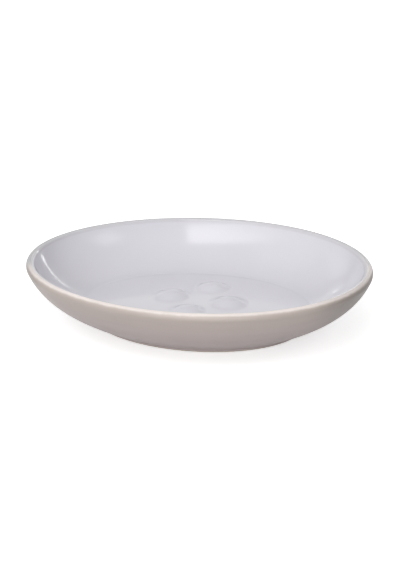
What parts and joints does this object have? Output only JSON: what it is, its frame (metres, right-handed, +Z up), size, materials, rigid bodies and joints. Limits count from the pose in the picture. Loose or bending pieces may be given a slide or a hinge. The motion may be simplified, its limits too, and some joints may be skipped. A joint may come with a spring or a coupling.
{
  "type": "soap dish",
  "caption": "Shallow oval glazed stoneware soap dish with raised knobs on its floor that keep the soap clear of water.",
  "frame": {"origin": "centre of the dish on the surface that it stands on", "axes": "+X along the dish towards its slightly fuller end, +Y across it, +Z up out of the bowl"},
  "size_m": [0.14, 0.1206, 0.0253],
  "materials": {
    "bare_clay": "fired, unglazed, fine and matt",
    "white_glaze": "cool white gloss glaze",
    "taupe_glaze": "warm taupe satin glaze"
  },
  "bodies": {
    "root": {"stoneware_body": "bare_clay", "lining_glaze": "white_glaze", "outer_glaze": "taupe_glaze", "base_glaze": "taupe_glaze"}
  },
  "joints": []
}
